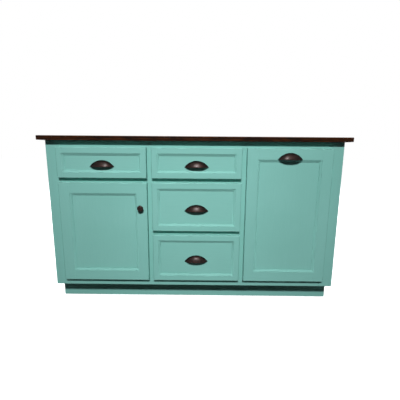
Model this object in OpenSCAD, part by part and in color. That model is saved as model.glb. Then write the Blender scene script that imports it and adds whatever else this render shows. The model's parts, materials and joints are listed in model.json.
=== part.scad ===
// Free-standing kitchen island unit: a painted face-frame cabinet under a stained wooden counter,
// with a drawer over a hinged door on the left, three drawers in the middle and a tall
// pull-out bin carrier on the right.
// X runs to the right, Y to the back and Z up. The origin is on the floor, under the middle of
// the whole unit, with its counter and its handles.

/* [Overall] */
// Height from the floor to the top of the counter
unit_h = 898; // [870:1:940]
// Depth of the cabinet, from the front of the face frame to its back
cabinet_d = 610; // [590:1:680]

/* [Openings] */
// Width of the left opening, for the drawer over the door
left_open_w = 428; // [400:1:520]
// Width of the middle opening, for the three drawers
middle_open_w = 431; // [400:1:520]
// Width of the right opening, for the bin carrier
right_open_w = 405; // [390:1:520]
// Height of the openings of the two top drawers
top_open_h = 128; // [115:1:160]

/* [Face frame] */
// Thickness of the face frame
face_t = 19; // [16:0.5:25]
// Width of the two end stiles
end_stile_w = 70.5; // [50:0.5:90]
// Width of the two middle stiles
mid_stile_w = 49; // [45:0.5:70]
// Width of the top rail
top_rail_w = 47; // [32:0.5:64]
// Width of the rails between two rows of fronts
mid_rail_w = 48; // [38:0.5:60]
// Width of the bottom rail
bottom_rail_w = 49; // [40:0.5:70]

/* [Counter] */
// Thickness of the counter
counter_t = 22; // [18:0.5:40]
// How far the counter stands out over the face frame
counter_front_over = 32; // [15:1:60]
// How far the counter stands out over each end panel
counter_side_over = 29; // [10:1:60]
// How far the counter stands out over the back
counter_back_over = 27; // [10:1:200]
// Radius of the counter's eased edges
counter_ease_r = 3; // [1:0.5:8]

/* [Carcass] */
// Thickness of the end panels, the partitions and the bottom
panel_t = 18; // [15:0.5:22]
// Thickness of the back
back_t = 12; // [6:0.5:18]
// Height of the toe kick
kick_h = 102; // [80:1:120]
// How far the toe kick lies behind the face frame
kick_recess = 75; // [50:1:100]
// Thickness of the toe-kick board
kick_board_t = 13; // [9:0.5:19]
// Depth of each stretcher under the counter, front to back
stretcher_d = 90; // [60:1:120]
// Height of the shelf's underside over the cupboard floor
shelf_up = 240; // [120:1:360]
// How far the shelf's front edge lies behind the face frame
shelf_setback = 25; // [0:1:250]
// Room between the shelf's back edge and the back
shelf_back_gap = 14; // [1:1:60]
// Radius of a shelf pin
shelf_pin_r = 2.5; // [2:0.5:4]

/* [Fronts] */
// Thickness of the drawer fronts and the door
front_t = 19; // [17:0.5:24]
// How far a front laps over the face frame on each side
overlay = 12.5; // [8:0.5:16]
// Gap between the fronts and the face frame, taken up by bumpers
front_gap = 3.2; // [3:0.1:5]
// Flat width of the frame of a drawer front
drawer_border = 28.5; // [20:0.5:36]
// Flat width of the frame of the door and of the tall front
door_border = 55; // [46:0.5:80]
// Width of the moulded edge round each panel
moulding_w = 10.5; // [8:0.5:18]
// Depth of each panel behind its frame
panel_recess = 9; // [6:0.5:9.5]
// Thickness of the flat panels
front_panel_t = 6; // [4:0.5:7]
// How deep the panels are let into their frames
groove_d = 9; // [5:0.5:12]
// Radius of the eased edge round each front
front_ease_r = 2.5; // [1:0.5:4]

/* [Handles] */
// Width of a cup pull from tip to tip
pull_w = 125; // [90:1:150]
// Height of a cup pull
pull_h = 34; // [28:1:45]
// How far a cup pull stands out
pull_out = 25; // [20:1:35]
// Wall of a cup pull
pull_wall = 2.2; // [1.5:0.1:3]
// Distance between a pull's two screws
pull_screw_gap = 76.2; // [60:0.1:80]
// Diameter of the knob
knob_d = 32; // [25:1:40]
// How far the knob stands out
knob_out = 25; // [20:1:40]
// Distance from the knob's axis to the free edge of the door
knob_in = 34; // [20:0.5:45]
// Height of the knob over the middle of the door
knob_up = 134; // [0:1:200]

/* [Drawers] */
// Thickness of the walls of a drawer box
box_wall_t = 12; // [9:0.5:16]
// Thickness of the bottom of a drawer box
box_bottom_t = 6; // [4:0.5:9]
// How far the bottom lies above the lower edge of its walls
box_bottom_up = 12; // [8:0.5:20]
// Length of a drawer box
box_len = 500; // [420:1:520]
// Room under a drawer box in its opening
box_under = 12; // [8:1:20]
// Room over a drawer box in its opening
box_over = 20; // [12:1:40]
// Height of the bin carrier's tray walls
tray_h = 120; // [90:1:200]

/* [Slides] */
// Length of the telescopic slides
slide_len = 490; // [400:1:500]
// Height of a slide
slide_h = 45; // [35:1:46]
// Thickness of a slide from the opening's edge to the drawer box
slide_t = 12.7; // [12:0.1:14]
// Sheet thickness of the slides' members
slide_sheet = 1.2; // [1:0.1:1.5]
// Running gap between a slide's members
slide_run = 0.4; // [0.3:0.05:0.6]

/* [Bins] */
// Height of a bin
bin_h = 430; // [300:1:450]
// Wall of a bin
bin_wall = 3; // [2.5:0.5:4]
// How much a bin narrows on each side towards its foot
bin_taper = 14; // [5:1:25]
// Width of a bin's rim
bin_rim = 8; // [5:1:12]

/* [Hinges] */
// Radius of a hinge cup
cup_r = 17.4; // [16:0.1:18]
// Wall between the cup's bore and the edge of the door
cup_edge = 3; // [2.5:0.5:4]
// Depth of the hinge pin behind the back face of the door
pin_depth = 11; // [10.5:0.1:11.5]
// Radius of the hinge pin
pin_r = 1.25; // [1:0.05:1.4]
// Distance from the middle of each hinge to the end of the door
hinge_in = 90; // [60:1:150]

/* [Hidden] */
$fn = 64;
DRAWERS = ["top_left_drawer", "top_middle_drawer", "middle_drawer", "bottom_drawer"];
DRAWER_PIECES = ["front_frame", "front_panel", "box_walls", "box_bottom", "cup_pull",
    "pull_screws", "inner_slides", "middle_slides"];

paint = [0.52, 0.76, 0.72];
stain = [0.25, 0.13, 0.09];
birch = [0.86, 0.74, 0.56];
bronze = [0.20, 0.12, 0.11];
zinc = [0.72, 0.73, 0.74];
nickel = [0.60, 0.60, 0.58];
bin_grey = [0.35, 0.36, 0.37];

seat = 0.3;                      // gap between two pieces that lie loosely together
fit = 0.1;                       // gap round a piece that is pushed into its hole
running = 0.06;                  // gap round a pin that turns in its bore
glue = 0.05;                     // glue line between two bars or walls of one frame or box
eps = 0.01;                      // how far a cut runs past a face
past = 1;                        // how far a cutting block runs past the piece it cuts

open_w = [left_open_w, middle_open_w, right_open_w];
cabinet_w = 2 * end_stile_w + 2 * mid_stile_w + left_open_w + middle_open_w + right_open_w;
cabinet_h = unit_h - counter_t;
function open_x0(c) = -cabinet_w / 2 + end_stile_w
    + (c > 0 ? left_open_w + mid_stile_w : 0) + (c > 1 ? middle_open_w + mid_stile_w : 0);
function open_x1(c) = open_x0(c) + open_w[c];

// Heights of the openings, from the bottom up
floor_z = kick_h + bottom_rail_w;
high_z = cabinet_h - top_rail_w;
top_row_z = high_z - top_open_h;
low_row_top_z = top_row_z - mid_rail_w;
low_drawer_h = (low_row_top_z - floor_z - mid_rail_w) / 2;
middle_row_z = low_row_top_z - low_drawer_h;

// Each opening: its column, its lower edge and its upper edge
DRAWER_OPENINGS = [[0, top_row_z, high_z], [1, top_row_z, high_z],
    [1, middle_row_z, low_row_top_z], [1, floor_z, floor_z + low_drawer_h]];
DOOR_OPENING = [0, floor_z, low_row_top_z];
BIN_OPENING = [2, floor_z, high_z];

// Depths, counted from the front of the face frame
handle_reach = front_gap + front_t + max(pull_out, knob_out);
unit_d = handle_reach + cabinet_d + counter_back_over;
face_y = handle_reach - unit_d / 2;
inside_back_y = cabinet_d - back_t;
front_y = -front_gap - front_t;
panel_front_y = front_y + panel_recess;

// Inner faces of the end panels and both faces of the partitions
end_inner_x = cabinet_w / 2 - panel_t;
function partition_mid_x(i) = open_x1(i) + mid_stile_w / 2;
function bay_x0(c) = c == 0 ? -end_inner_x : partition_mid_x(c - 1) + panel_t / 2;
function bay_x1(c) = c == 2 ? end_inner_x : partition_mid_x(c) - panel_t / 2;

slide_start_y = 2;
spacer_over = 2.5;               // how far a spacer stands over and under its slide

// A box between two corners
module block(a, b) translate(a) cube(b - a);

// A piece whose Y is counted from the front of the face frame
module at_face() translate([0, face_y, 0]) children();

ease_steps = 3;                  // flats round each eased corner

function corner(centre, r, from, to) =
    [for (i = [0 : ease_steps]) let (a = from + (to - from) * i / ease_steps)
        centre + r * [cos(a), sin(a)]];

// ---------- Counter and carcass ----------

// A rectangle with all four corners rounded
module eased_rect(w, h, r)
    polygon(concat(corner([w - r, h - r], r, 0, 90), corner([r, h - r], r, 90, 180),
        corner([r, r], r, 180, 270), corner([w - r, r], r, 270, 360)));

module countertop() {
    w = cabinet_w + 2 * counter_side_over;
    d = counter_front_over + cabinet_d + counter_back_over;
    color(stain) at_face() translate([-w / 2, -counter_front_over, cabinet_h])
        intersection() {
            translate([0, d, 0]) rotate([90, 0, 0]) linear_extrude(d)
                eased_rect(w, counter_t, counter_ease_r);
            rotate([90, 0, 90]) linear_extrude(w) eased_rect(d, counter_t, counter_ease_r);
        }
}

counter_screw_r = 2.1;
counter_screw_bite = 14;
counter_screw_head = [4.5, 2.5];  // radius and height

module counter_screws()
    color(zinc) at_face()
        for (c = [0 : 2], y = [face_t + stretcher_d / 2, inside_back_y - stretcher_d / 2])
            translate([(bay_x0(c) + bay_x1(c)) / 2, y, cabinet_h - panel_t]) {
                cylinder(r = counter_screw_r, h = panel_t + counter_screw_bite);
                translate([0, 0, -counter_screw_head[1]])
                    cylinder(r = counter_screw_head[0], h = counter_screw_head[1]);
            }

// The panel's side view: its foot stops behind the toe-kick board
module end_panels() {
    foot_y = kick_recess + kick_board_t;
    color(paint) at_face() for (x = [-cabinet_w / 2, end_inner_x]) translate([x, 0, 0])
        rotate([90, 0, 90]) linear_extrude(panel_t)
            polygon([[face_t, kick_h], [foot_y, kick_h], [foot_y, 0], [cabinet_d, 0],
                [cabinet_d, cabinet_h], [face_t, cabinet_h]]);
}

module partitions()
    color(birch) at_face() for (i = [0, 1])
        block([bay_x1(i), face_t, floor_z], [bay_x0(i + 1), inside_back_y, cabinet_h]);

module cabinet_bottom()
    color(birch) at_face()
        block([-end_inner_x, face_t, floor_z - panel_t], [end_inner_x, inside_back_y, floor_z]);

module back_panel()
    color(paint) at_face()
        block([-end_inner_x, inside_back_y, 0], [end_inner_x, cabinet_d, cabinet_h]);

module top_stretchers()
    color(birch) at_face()
        for (c = [0 : 2], y = [face_t, inside_back_y - stretcher_d])
            block([bay_x0(c), y, cabinet_h - panel_t], [bay_x1(c), y + stretcher_d, cabinet_h]);

module face_frame() {
    color(paint) at_face() {
        for (side = [0, 1]) mirror([side, 0, 0])
            block([-cabinet_w / 2, 0, kick_h], [-cabinet_w / 2 + end_stile_w, face_t, cabinet_h]);
        for (i = [0, 1])
            block([open_x1(i), 0, floor_z + glue], [open_x0(i + 1), face_t, high_z - glue]);
        for (z = [[kick_h, floor_z], [high_z, cabinet_h]])
            block([open_x0(0) + glue, 0, z[0]], [open_x1(2) - glue, face_t, z[1]]);
        for (r = [[0, low_row_top_z], [1, low_row_top_z], [1, floor_z + low_drawer_h]])
            block([open_x0(r[0]) + glue, 0, r[1]],
                [open_x1(r[0]) - glue, face_t, r[1] + mid_rail_w]);
    }
}

module toe_kick_board()
    color(paint) at_face()
        block([-cabinet_w / 2, kick_recess, 0],
            [cabinet_w / 2, kick_recess + kick_board_t, kick_h]);

shelf_z = floor_z + shelf_up;
shelf_front_y = face_t + shelf_setback;
shelf_back_y = inside_back_y - shelf_back_gap;
shelf_side_gap = 1;
pin_in = 9;                      // length of a shelf pin inside its panel
pin_reach = 8;                   // length of a shelf pin under the shelf
pin_from_edge = 50;              // from the shelf's front and back edges to its pins

module shelf()
    color(birch) at_face()
        block([bay_x0(0) + shelf_side_gap, shelf_front_y, shelf_z],
            [bay_x1(0) - shelf_side_gap, shelf_back_y, shelf_z + panel_t]);

module shelf_pins()
    color(nickel) at_face()
        for (y = [shelf_front_y + pin_from_edge, shelf_back_y - pin_from_edge],
             x = [bay_x0(0) - pin_in, bay_x1(0) - pin_reach])
            translate([x, y, shelf_z - shelf_pin_r]) rotate([0, 90, 0])
                cylinder(r = shelf_pin_r, h = pin_in + pin_reach);

// ---------- Slides ----------

function box_z0(o) = o[1] + box_under;
function box_z1(o) = o[2] - box_over;
function box_mid_z(o) = (box_z0(o) + box_z1(o)) / 2;
tray_z0 = floor_z + box_under;
tray_z1 = tray_z0 + tray_h;

// Each pair of slides: its column and the height of its middle
SLIDES = concat([for (o = DRAWER_OPENINGS) [o[0], box_mid_z(o)]],
    [[BIN_OPENING[0], (tray_z0 + tray_z1) / 2]]);

// A channel along Y, with its back at X = 0 and its flanges towards +X
module channel(h, d)
    translate([0, slide_start_y, 0]) rotate([-90, 0, 0]) linear_extrude(slide_len)
        difference() {
            translate([0, -h / 2]) square([d, h]);
            translate([slide_sheet, -h / 2 + slide_sheet])
                square([d, h - 2 * slide_sheet]);
        }

module slide_pair(s) {
    translate([open_x0(s[0]), 0, s[1]]) children();
    translate([open_x1(s[0]), 0, s[1]]) mirror([1, 0, 0]) children();
}

slide_back_room = 0.8;           // between the backs of the outer and the middle member
outer_short = 3.5;               // how far the outer member stops short of the drawer box
middle_short = 2.5;              // how far the middle member stops short of it
inner_short = 1;                 // between the inner member and the middle member's back
middle_back_x = slide_sheet + slide_back_room;
middle_h = slide_h - 2 * slide_sheet - 2 * slide_run;
inner_h = middle_h - 2 * slide_sheet - 2 * slide_run;
outer_d = slide_t - outer_short;
middle_d = slide_t - middle_short - middle_back_x;
inner_d = slide_t - middle_back_x - slide_sheet - inner_short;

module outer_slides()
    color(zinc) at_face() for (s = SLIDES) slide_pair(s) channel(slide_h, outer_d);

module middle_slides(s)
    color(zinc) at_face() slide_pair(s) translate([middle_back_x, 0, 0])
        channel(middle_h, middle_d);

module inner_slides(s)
    color(zinc) at_face() slide_pair(s) translate([slide_t, 0, 0]) mirror([1, 0, 0])
        channel(inner_h, inner_d);

// Strips that fill the room between the slides and the panels beside them
module slide_spacers() {
    half = slide_h / 2 + spacer_over;
    color(birch) at_face() for (s = SLIDES) {
        y1 = slide_start_y + slide_len;
        block([bay_x0(s[0]), face_t, s[1] - half], [open_x0(s[0]), y1, s[1] + half]);
        block([open_x1(s[0]), face_t, s[1] - half], [bay_x1(s[0]), y1, s[1] + half]);
    }
}

// ---------- Fronts ----------

quirk = 2.0;                     // step at the outer edge of the moulding
lip = 4.0;                       // step at its inner edge, down to the panel
ogee_share = 0.25;               // how much of the moulding's fall is a wave, the rest a slope
ogee_steps = 6;

// Cross-section of a frame bar: first number inwards from its outer edge, second forwards
// from its back. The moulding falls in a slope with a slight wave, between two small steps.
function bar_outline(border) =
    let (end = border + moulding_w, panel_v = front_t - panel_recess,
         top = front_t - quirk, drop = panel_recess - quirk - lip)
    concat([[0, 0], [0, front_t], [border, front_t]],
        [for (i = [0 : ogee_steps]) let (t = i / ogee_steps)
            [border + moulding_w * t,
             top - drop * ((1 - ogee_share) * t + ogee_share * (1 - cos(180 * t)) / 2)]],
        [[end, panel_v], [end - groove_d, panel_v], [end - groove_d, panel_v - front_panel_t],
         [end, panel_v - front_panel_t], [end, 0]]);

module bar(len, border)
    mirror([0, 1, 0]) linear_extrude(len) polygon(bar_outline(border));

function front_x0(o) = open_x0(o[0]) - overlay;
function front_x1(o) = open_x1(o[0]) + overlay;
function front_z0(o) = o[1] - overlay;
function front_z1(o) = o[2] + overlay;

// The whole front as a slab with eased edges, back face at Y = -front_gap
module front_slab(o) {
    w = front_x1(o) - front_x0(o);
    h = front_z1(o) - front_z0(o);
    r = front_ease_r;
    translate([front_x0(o), -front_gap, front_z0(o)]) intersection() {
        linear_extrude(h) polygon(concat([[w, 0], [0, 0]],
            corner([r, r - front_t], r, 180, 270), corner([w - r, r - front_t], r, 270, 360)));
        rotate([90, 0, 90]) linear_extrude(w) polygon(concat([[0, h], [0, 0]],
            corner([r - front_t, r], r, 270, 180), corner([r - front_t, h - r], r, 180, 90)));
    }
}

module stiles(o, border) {
    len = front_z1(o) - front_z0(o);
    translate([front_x0(o), -front_gap, front_z0(o)]) bar(len, border);
    translate([front_x1(o), -front_gap, front_z0(o)]) mirror([1, 0, 0]) bar(len, border);
}

// The rails stop at the stiles' flats, are coped over the stiles' moulded edges and reach into
// their grooves, with a glue line all round
module rails(o, border) {
    x = front_x1(o) - border;
    len = x - front_x0(o) - border;
    difference() {
        union() {
            translate([x, -front_gap, front_z0(o)]) rotate([0, -90, 0]) bar(len, border);
            translate([x, -front_gap, front_z1(o)]) mirror([0, 0, 1]) rotate([0, -90, 0])
                bar(len, border);
        }
        for (y = [-glue, glue]) translate([0, y, 0]) stiles(o, border + glue);
    }
}

module front_frame(o, border) {
    intersection() { stiles(o, border); front_slab(o); }
    intersection() { rails(o, border); front_slab(o); }
}

panel_float = 0.5;               // room for the panel to swell at the foot of its groove

module front_panel(o, border) {
    inset = border + moulding_w - groove_d + panel_float;
    block([front_x0(o) + inset, panel_front_y, front_z0(o) + inset],
        [front_x1(o) - inset, panel_front_y + front_panel_t, front_z1(o) - inset]);
}

// ---------- Cup pulls ----------

// A cup pull is cut from a hollow ball, whose centre lies behind the front and below the pull
ball_y = (pow(pull_w / 2, 2) - pow(pull_out, 2)) / (2 * pull_out);
ball_z = (pow(pull_w / 2, 2) - pow(pull_h, 2)) / (2 * pull_h);
ball_r = sqrt(pow(pull_w / 2, 2) + pow(ball_y, 2) + pow(ball_z, 2));
ball_facets = 96;
drawer_pull_drop = 20.5;         // from the middle of a drawer front down to its pull's edge
bin_pull_up = 0.7;               // from the top rail's inner edge up to the pull's edge
boss_r = 4;
boss_z = 10;
screw_r = 2;
screw_head_r = 4;
screw_head_h = 2;
screw_bite = 5.5;                // length of a screw inside its boss

// Y of the mounting face, and height of the pull's lower edge
function pull_place(o, y, z) = [(front_x0(o) + front_x1(o)) / 2, y, z];
function drawer_pull_place(o) =
    pull_place(o, panel_front_y, (front_z0(o) + front_z1(o)) / 2 - drawer_pull_drop);
bin_pull_place = pull_place(BIN_OPENING, front_y,
    front_z1(BIN_OPENING) - door_border + bin_pull_up);

module pull_block() block([-pull_w, -pull_out - past, 0], [pull_w, 0, pull_h + past]);

module cup_pull(place)
    color(bronze) at_face() translate(place) difference() {
        intersection() {
            pull_block();
            translate([0, ball_y, -ball_z]) sphere(ball_r, $fn = ball_facets);
            union() {
                difference() {
                    pull_block();
                    translate([0, ball_y, -ball_z]) sphere(ball_r - pull_wall, $fn = ball_facets);
                }
                for (side = [-1, 1]) translate([side * pull_screw_gap / 2, 0, boss_z])
                    rotate([90, 0, 0]) cylinder(r = boss_r, h = pull_out);
            }
        }
        for (side = [-1, 1]) translate([side * pull_screw_gap / 2, eps, boss_z])
            rotate([90, 0, 0]) cylinder(r = screw_r + running, h = screw_bite + seat + eps);
    }

// Screws from the back at head_y, through the wood and into the pull's bosses
module pull_screw_row(place, head_y, r, extra)
    for (side = [-1, 1])
        translate([place[0] + side * pull_screw_gap / 2, head_y + extra, place[2] + boss_z])
            rotate([90, 0, 0]) cylinder(r = r, h = head_y - place[1] + screw_bite + 2 * extra);

module pull_screws(place, head_y)
    color(zinc) at_face() {
        pull_screw_row(place, head_y, screw_r, 0);
        for (side = [-1, 1])
            translate([place[0] + side * pull_screw_gap / 2, head_y + screw_head_h,
                       place[2] + boss_z])
                rotate([90, 0, 0]) cylinder(r = screw_head_r, h = screw_head_h);
    }

drawer_screw_y = -front_gap + box_wall_t;

// ---------- Drawer boxes ----------

// Walls of an open box between two heights, with a groove for its bottom
module box_walls(c, z0, z1) {
    x0 = open_x0(c) + slide_t;
    x1 = open_x1(c) - slide_t;
    y0 = -front_gap;
    y1 = y0 + box_len;
    t = box_wall_t;
    difference() {
        union() {
            block([x0, y0, z0], [x0 + t, y1, z1]);
            block([x1 - t, y0, z0], [x1, y1, z1]);
        }
        bottom_board(c, z0, 0);
    }
    difference() {
        union() {
            block([x0 + t + glue, y0, z0], [x1 - t - glue, y0 + t, z1]);
            block([x0 + t + glue, y1 - t, z0], [x1 - t - glue, y1, z1]);
        }
        bottom_board(c, z0, 0);
    }
}

// The bottom reaches half way into each wall, less the room left at the foot of the groove
module bottom_board(c, z0, room) {
    inset = box_wall_t / 2 + room;
    z = z0 + box_bottom_up;
    block([open_x0(c) + slide_t + inset, -front_gap + inset, z],
        [open_x1(c) - slide_t - inset, -front_gap + box_len - inset, z + box_bottom_t]);
}

module drawer_piece(piece, i) {
    o = DRAWER_OPENINGS[i];
    place = drawer_pull_place(o);
    if (piece == "front_frame") color(paint) at_face() front_frame(o, drawer_border);
    if (piece == "front_panel") color(paint) at_face() difference() {
        front_panel(o, drawer_border);
        pull_screw_row(place, drawer_screw_y, screw_r + fit, eps);
    }
    if (piece == "box_walls") color(birch) at_face() difference() {
        box_walls(o[0], box_z0(o), box_z1(o));
        pull_screw_row(place, drawer_screw_y, screw_r + fit, eps);
    }
    if (piece == "box_bottom") color(birch) at_face()
        bottom_board(o[0], box_z0(o), panel_float);
    if (piece == "cup_pull") cup_pull(place);
    if (piece == "pull_screws") pull_screws(place, drawer_screw_y);
    if (piece == "inner_slides") inner_slides(SLIDES[i]);
    if (piece == "middle_slides") middle_slides(SLIDES[i]);
}

// ---------- Bin carrier ----------

module bin_carrier_front_frame()
    color(paint) at_face() difference() {
        front_frame(BIN_OPENING, door_border);
        pull_screw_row(bin_pull_place, -front_gap, screw_r + fit, eps);
    }

module bin_carrier_front_panel()
    color(paint) at_face() front_panel(BIN_OPENING, door_border);

module bin_carrier_tray_walls()
    color(birch) at_face() box_walls(BIN_OPENING[0], tray_z0, tray_z1);

module bin_carrier_tray_bottom()
    color(birch) at_face() bottom_board(BIN_OPENING[0], tray_z0, panel_float);

bracket_t = 2.5;
bracket_h = 380;
bracket_len = 160;
bracket_top_len = 20;
bracket_flange = 22;
tray_floor_z = tray_z0 + box_bottom_up + box_bottom_t;
tray_inner_x0 = open_x0(2) + slide_t + box_wall_t;
tray_inner_x1 = open_x1(2) - slide_t - box_wall_t;
tray_inner_y0 = -front_gap + box_wall_t;
tray_inner_y1 = -front_gap + box_len - box_wall_t;

// A steel gusset on each side: a web inside the tray's side wall that rises over the tray's
// front wall, and a flange across the back of the tall front
module bin_carrier_brackets()
    color(zinc) at_face() for (side = [0, 1])
        translate([side * (tray_inner_x0 + tray_inner_x1), 0, 0]) mirror([side, 0, 0])
            translate([tray_inner_x0, 0, tray_floor_z]) {
                rise = tray_z1 - tray_floor_z;
                rotate([90, 0, 90]) linear_extrude(bracket_t)
                    polygon([[tray_inner_y0, 0], [tray_inner_y0 + bracket_len, 0],
                        [tray_inner_y0 + bracket_len, rise], [tray_inner_y0 + bracket_top_len, bracket_h],
                        [-front_gap, bracket_h], [-front_gap, rise], [tray_inner_y0, rise]]);
                block([0, -front_gap, rise], [bracket_flange, -front_gap + bracket_t, bracket_h]);
            }

bin_gap = 4;                     // room round each bin at its rim
bin_rim_h = 6;
bin_w = tray_inner_x1 - tray_inner_x0 - 2 * bracket_t - 2 * bin_gap;
bin_len = (tray_inner_y1 - tray_inner_y0 - 3 * bin_gap) / 2;

// A tapered bin that stands at the origin, open at the top
module bin_body(grow, h, z)
    hull() {
        translate([bin_rim + bin_taper - grow, bin_rim + bin_taper - grow, z])
            cube([bin_w - 2 * (bin_rim + bin_taper - grow),
                bin_len - 2 * (bin_rim + bin_taper - grow), eps]);
        translate([bin_rim - grow, bin_rim - grow, h - eps])
            cube([bin_w - 2 * (bin_rim - grow), bin_len - 2 * (bin_rim - grow), eps]);
    }

module bins()
    color(bin_grey) at_face() for (i = [0, 1])
        translate([tray_inner_x0 + bracket_t + bin_gap,
                   tray_inner_y0 + bin_gap + i * (bin_len + bin_gap), tray_floor_z])
            difference() {
                union() {
                    bin_body(0, bin_h, 0);
                    translate([0, 0, bin_h - bin_rim_h]) cube([bin_w, bin_len, bin_rim_h]);
                }
                bin_body(-bin_wall, bin_h + past, bin_wall);
            }

// ---------- Door, hinges and knob ----------

cup_wall = 1.1;
cup_floor = 0.8;
knuckle_wall = 0.75;
knuckle_r = pin_r + knuckle_wall;
knuckle_room = 0.4;              // between the arm's knuckle and the floor of the cup
cup_inner_depth = pin_depth + knuckle_r + knuckle_room;
cup_depth = cup_inner_depth + cup_floor;
flange_t = 1.2;
flange_size = [22, 62];          // across and up
hinge_x = front_x0(DOOR_OPENING) + cup_edge + cup_r;
corner_room = 0.4;               // least gap between the door's turning corner and the frame
pin_from_edge_x = sqrt(pow(pin_depth + front_gap - corner_room, 2) - pow(pin_depth, 2));
pin_x = front_x0(DOOR_OPENING) + pin_from_edge_x;
pin_y = -front_gap - pin_depth;
hinge_z = [front_z0(DOOR_OPENING) + hinge_in, front_z1(DOOR_OPENING) - hinge_in];
pin_half = sqrt(pow(cup_r, 2) - pow(hinge_x - pin_x + pin_r, 2)) - glue;
arm_t = 1.8;
arm_half = 5.5;
arm_extra = 4;                   // how much further the arm reaches than the pin lies deep
arm_reach = pin_depth + arm_extra;
arm_from_back = 7;               // from the back of the face frame to the arm's foot
arm_back_y = face_t - arm_from_back;
plate_t = 1.2;
plate_size = [15, 46];           // along Y and up
knob_x = front_x1(DOOR_OPENING) - knob_in;
knob_z = (front_z0(DOOR_OPENING) + front_z1(DOOR_OPENING)) / 2 + knob_up;
knob_screw_bite = 10;
knob_foot = [8.6, 2];            // radius and height of its foot
knob_waist = [6.1, 5];           // radius of its waist, and the height where that starts
knob_flare_h = 4.3;              // from the top of the waist to the rim
knob_rim = [0.6, 1.5];           // how far the rim slopes out, and its height
knob_dome_h = 8;                 // from the rim to the top

// A round hole along Y that starts at y and runs forwards
module hole_y(x, y, z, r, depth)
    translate([x, y, z]) rotate([90, 0, 0]) cylinder(r = r, h = depth);

module door_frame()
    color(paint) at_face() difference() {
        front_frame(DOOR_OPENING, door_border);
        for (z = hinge_z) hole_y(hinge_x, -front_gap + eps, z, cup_r + fit,
            cup_depth + fit + eps);
        hole_y(knob_x, -front_gap + eps, knob_z, screw_r + fit, front_t + 2 * eps);
    }

module door_panel()
    color(paint) at_face() front_panel(DOOR_OPENING, door_border);

// Each cup with its flange on the back of the door, and the pin across it
module hinge_cups()
    color(nickel) at_face() for (z = hinge_z) {
        difference() {
            union() {
                hole_y(hinge_x, -front_gap, z, cup_r, cup_depth);
                block([hinge_x - flange_size[0] / 2, -front_gap, z - flange_size[1] / 2],
                    [hinge_x + flange_size[0] / 2, -front_gap + flange_t,
                     z + flange_size[1] / 2]);
                hole_y(hinge_x, -front_gap + flange_t, z, cup_r, flange_t + eps);
            }
            hole_y(hinge_x, -front_gap + flange_t + eps, z, cup_r - cup_wall,
                cup_inner_depth + flange_t + eps);
            pin_bar(z, pin_r + glue, cup_r);
        }
        pin_bar(z, pin_r, pin_half);
    }

module pin_bar(z, r, half)
    translate([pin_x, pin_y, z - half]) cylinder(r = r, h = 2 * half);

// Each arm turns on its pin, leads out of the cup, and is fixed to the edge of the end stile
module hinge_arms() {
    half = arm_t / 2;
    leg_x = pin_x + arm_reach;
    edge_x = open_x0(0);
    color(nickel) at_face() for (z = hinge_z) {
        translate([0, 0, z - arm_half]) linear_extrude(2 * arm_half) difference() {
            union() {
                translate([pin_x, pin_y]) circle(knuckle_r);
                translate([pin_x, pin_y - half]) square([arm_reach + half, arm_t]);
                translate([leg_x - half, pin_y - half])
                    square([arm_t, arm_back_y - pin_y + arm_t]);
                translate([edge_x, arm_back_y - half]) square([leg_x + half - edge_x, arm_t]);
            }
            translate([pin_x, pin_y]) circle(pin_r + running);
        }
        difference() {
            block([edge_x, face_t / 2 - plate_size[0] / 2, z - plate_size[1] / 2],
                [edge_x + plate_t, face_t / 2 + plate_size[0] / 2, z + plate_size[1] / 2]);
            block([edge_x - past, arm_back_y - half, z - arm_half],
                [edge_x + plate_t + past, arm_back_y + half, z + arm_half]);
        }
    }
}

// Half of the knob's outline, from its foot up: a waist, a hollow flare, a rim and a dome
module knob_outline() {
    rim_z = knob_out - knob_dome_h;
    flare_z = rim_z - knob_rim[1] - knob_flare_h;
    flare_w = knob_d / 2 - knob_rim[0] - knob_waist[0];
    polygon(concat([[0, 0], [knob_foot[0], 0], knob_foot, knob_waist],
        [for (a = [0 : 30 : 90])
            [knob_waist[0] + flare_w * (1 - cos(a)), flare_z + knob_flare_h * sin(a)]],
        [for (a = [0 : 15 : 90]) [knob_d / 2 * cos(a), rim_z + knob_dome_h * sin(a)]]));
}

// The knob, turned about its own axis, with its screw
module door_knob()
    color(bronze) at_face() {
        difference() {
            translate([knob_x, front_y, knob_z]) rotate([90, 0, 0]) rotate_extrude()
                knob_outline();
            hole_y(knob_x, front_y + eps, knob_z, screw_r + running,
                knob_screw_bite + seat + eps);
        }
        hole_y(knob_x, -front_gap, knob_z, screw_r, front_t + knob_screw_bite);
        hole_y(knob_x, -front_gap + screw_head_h, knob_z, screw_head_r, screw_head_h);
    }

countertop();
counter_screws();
end_panels();
partitions();
cabinet_bottom();
back_panel();
top_stretchers();
face_frame();
toe_kick_board();
shelf();
shelf_pins();
slide_spacers();
outer_slides();
hinge_arms();
door_frame();
door_panel();
door_knob();
hinge_cups();
bin_carrier_front_frame();
bin_carrier_front_panel();
bin_carrier_tray_walls();
bin_carrier_tray_bottom();
bin_carrier_brackets();
bins();
cup_pull(bin_pull_place);  // bin_carrier_cup_pull
pull_screws(bin_pull_place, -front_gap);  // bin_carrier_pull_screws
inner_slides(SLIDES[4]);  // bin_carrier_inner_slides
middle_slides(SLIDES[4]);  // bin_carrier_middle_slides
for (i = [0 : 3], piece = DRAWER_PIECES)
    drawer_piece(piece, i);
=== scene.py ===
"""Kitchen island unit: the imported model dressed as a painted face-frame cabinet with a dark
stained counter, moulded fronts, bronze cup pulls, birch drawer boxes and two bins."""
import json
import math

import bmesh
import bpy
import numpy as np
from mathutils import Matrix, Vector


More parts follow.
